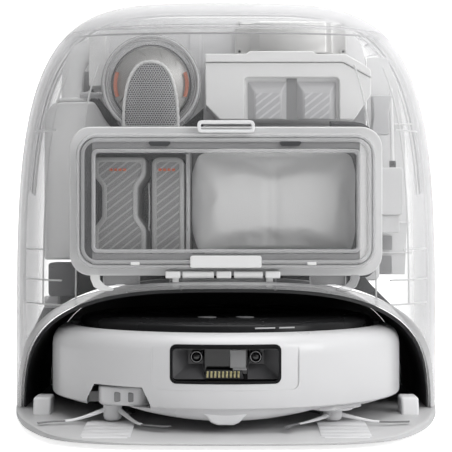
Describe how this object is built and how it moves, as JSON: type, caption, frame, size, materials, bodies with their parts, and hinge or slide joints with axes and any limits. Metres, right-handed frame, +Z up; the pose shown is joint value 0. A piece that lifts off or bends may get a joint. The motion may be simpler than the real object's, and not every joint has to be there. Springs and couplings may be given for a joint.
{
  "type": "robot floor cleaner with docking station",
  "caption": "Round robot vacuum and mop docked in a tall see-through self-emptying station with hinged lid and dust compartment door.",
  "frame": {"origin": "on the floor under the middle of the assembly's bounding box", "axes": "+X to the right seen from the front, +Y towards the back of the station, +Z up"},
  "size_m": [0.44, 0.456, 0.4431],
  "materials": {
    "clear_plastic": "clear, glossy",
    "white_plastic": "satin white",
    "grey_plastic": "satin grey",
    "dark_plastic": "matte near black",
    "black_gloss": "gloss black",
    "black_rubber": "matte",
    "fan_metal": "satin",
    "satin_aluminium": "satin",
    "gold_contacts": "polished",
    "bag_fleece": "matte fleece",
    "mop_cloth": "looped pile"
  },
  "bodies": {
    "station": {"base_tray": "white_plastic", "wash_board": "grey_plastic", "rubber_foot_1": "black_rubber", "rubber_foot_2": "black_rubber", "rubber_foot_3": "black_rubber", "rubber_foot_4": "black_rubber", "outer_shell": "clear_plastic", "back_panel": "white_plastic", "garage_liner": "dark_plastic", "arch_trim": "clear_plastic", "door_fascia": "white_plastic", "compartment_tub": "clear_plastic", "detergent_cartridge": "grey_plastic", "deodoriser_cartridge": "grey_plastic", "dust_bag": "bag_fleece", "inner_panel": "white_plastic", "clean_tank": "clear_plastic", "waste_tank": "grey_plastic", "fan_volute": "clear_plastic", "fan_motor": "dark_plastic", "fan_filter": "grey_plastic", "silencer_box": "white_plastic", "silencer_lid": "white_plastic", "power_cover": "satin_aluminium", "left_duct": "clear_plastic", "inlet_pipe": "white_plastic", "drain_pump": "dark_plastic", "water_pump": "clear_plastic", "water_tube": "white_plastic", "power_inlet": "black_rubber"},
    "lid": {"top_lid": "clear_plastic"},
    "door": {"compartment_door": "clear_plastic", "door_seal": "black_rubber"},
    "latch": {"door_latch": "white_plastic"},
    "impeller": {"fan_impeller": "fan_metal"},
    "robot": {"robot_chassis": "white_plastic", "robot_cover": "white_plastic", "robot_deck": "black_gloss", "sensor_bay": "dark_plastic", "camera_left": "black_gloss", "camera_right": "black_gloss", "contact_strip": "gold_contacts", "robot_battery": "dark_plastic", "robot_dust_box": "grey_plastic"},
    "bumper_ring": {"bumper": "white_plastic", "sensor_window": "black_gloss"},
    "arm_left": {"suspension_arm_left": "dark_plastic"},
    "wheel_left": {"drive_wheel_left": "black_rubber"},
    "arm_right": {"suspension_arm_right": "dark_plastic"},
    "wheel_right": {"drive_wheel_right": "black_rubber"},
    "caster": {"caster_fork": "white_plastic"},
    "caster_roller": {"caster_wheel": "black_rubber"},
    "main_brush": {"roller_brush": "grey_plastic"},
    "extending_arm": {"brush_arm": "white_plastic"},
    "brush_left": {"side_brush_left": "black_rubber"},
    "brush_right": {"side_brush_right": "black_rubber"},
    "mop_left": {"mop_pad_left": "mop_cloth", "mop_holder_left": "grey_plastic"},
    "mop_right": {"mop_pad_right": "mop_cloth", "mop_holder_right": "grey_plastic"}
  },
  "joints": [
    {"name": "lid_hinge", "type": "hinge", "parent": "station", "child": "lid", "pos_m": [0, 0.196, 0.4446], "axis": [-1, 0, 0], "range_deg": [0, 85]},
    {"name": "door_hinge", "type": "hinge", "parent": "station", "child": "door", "pos_m": [0, -0.1205, 0.149], "axis": [1, 0, 0], "range_deg": [0, 90]},
    {"name": "latch_pull", "type": "slide", "parent": "door", "child": "latch", "axis": [0, -1, 0], "range_m": [0, 0.003], "stiffness_N_per_m": 200},
    {"name": "impeller_spin", "type": "hinge", "parent": "station", "child": "impeller", "pos_m": [-0.0743, -0.055, 0.3355], "axis": [0, 1, 0], "continuous": true},
    {"name": "robot_exit", "type": "slide", "parent": "station", "child": "robot", "axis": [0, -1, 0], "range_m": [0, 0.35]},
    {"name": "bumper_press", "type": "slide", "parent": "robot", "child": "bumper_ring", "axis": [0, 1, 0], "range_m": [0, 0.004], "stiffness_N_per_m": 400},
    {"name": "suspension_left", "type": "hinge", "parent": "robot", "child": "arm_left", "pos_m": [-0.0937, -0.047, 0.056], "axis": [1, 0, 0], "range_deg": [0, 6], "stiffness_Nm_per_rad": 0.5},
    {"name": "wheel_left_spin", "type": "hinge", "parent": "arm_left", "child": "wheel_left", "pos_m": [-0.106, -0.008, 0.0451], "axis": [1, 0, 0], "continuous": true},
    {"name": "suspension_right", "type": "hinge", "parent": "robot", "child": "arm_right", "pos_m": [0.0937, -0.047, 0.056], "axis": [1, 0, 0], "range_deg": [0, 6], "stiffness_Nm_per_rad": 0.5},
    {"name": "wheel_right_spin", "type": "hinge", "parent": "arm_right", "child": "wheel_right", "pos_m": [0.106, -0.008, 0.0451], "axis": [1, 0, 0], "continuous": true},
    {"name": "caster_swivel", "type": "hinge", "parent": "robot", "child": "caster", "pos_m": [0, -0.15, 0.0355], "axis": [0, 0, 1], "continuous": true},
    {"name": "caster_roll", "type": "hinge", "parent": "caster", "child": "caster_roller", "pos_m": [0, -0.148, 0.0211], "axis": [1, 0, 0], "continuous": true},
    {"name": "main_brush_spin", "type": "hinge", "parent": "robot", "child": "main_brush", "pos_m": [0, -0.038, 0.03], "axis": [1, 0, 0], "continuous": true},
    {"name": "brush_arm_swing", "type": "hinge", "parent": "robot", "child": "extending_arm", "pos_m": [-0.07002, -0.10501, 0.047], "axis": [0, 0, 1], "range_deg": [0, 20]},
    {"name": "brush_left_spin", "type": "hinge", "parent": "extending_arm", "child": "brush_left", "pos_m": [-0.10602, -0.13001, 0.0289], "axis": [0, 0, 1], "continuous": true},
    {"name": "brush_right_spin", "type": "hinge", "parent": "robot", "child": "brush_right", "pos_m": [0.09999, -0.12999, 0.0237], "axis": [0, 0, 1], "continuous": true},
    {"name": "mop_left_spin", "type": "hinge", "parent": "robot", "child": "mop_left", "pos_m": [-0.066, 0.075, 0.024], "axis": [0, 0, 1], "continuous": true},
    {"name": "mop_right_spin", "type": "hinge", "parent": "robot", "child": "mop_right", "pos_m": [0.066, 0.075, 0.024], "axis": [0, 0, 1], "continuous": true}
  ],
  "couplings": [
    {"joint": "mop_right_spin", "follows": "mop_left_spin", "ratio": -1}
  ]
}
